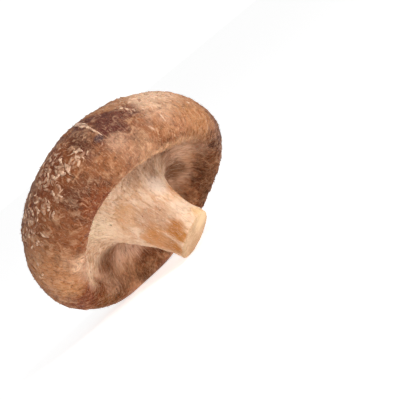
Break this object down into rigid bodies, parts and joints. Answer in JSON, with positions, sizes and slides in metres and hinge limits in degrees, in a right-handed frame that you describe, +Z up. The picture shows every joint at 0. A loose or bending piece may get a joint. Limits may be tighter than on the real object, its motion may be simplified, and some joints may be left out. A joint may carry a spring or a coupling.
{
  "type": "shiitake mushroom",
  "caption": "Fresh shiitake mushroom lying face down: domed brown cap with an inrolled rim, a ring-shaped hollow under it, and a flared pale stem with a straight cut end.",
  "frame": {"origin": "centre of the footprint on the surface that the mushroom lies on, under its bounding box", "axes": "+Z up from the surface; the cut end of the stem points down and towards -Y and +X; the crown of the cap faces up, +Y and -X"},
  "size_m": [0.065, 0.0624, 0.046],
  "materials": {
    "mushroom_skin": "matte, fibrous and slightly fuzzy mushroom skin"
  },
  "bodies": {
    "root": {"shiitake_mushroom": "mushroom_skin"}
  },
  "joints": []
}
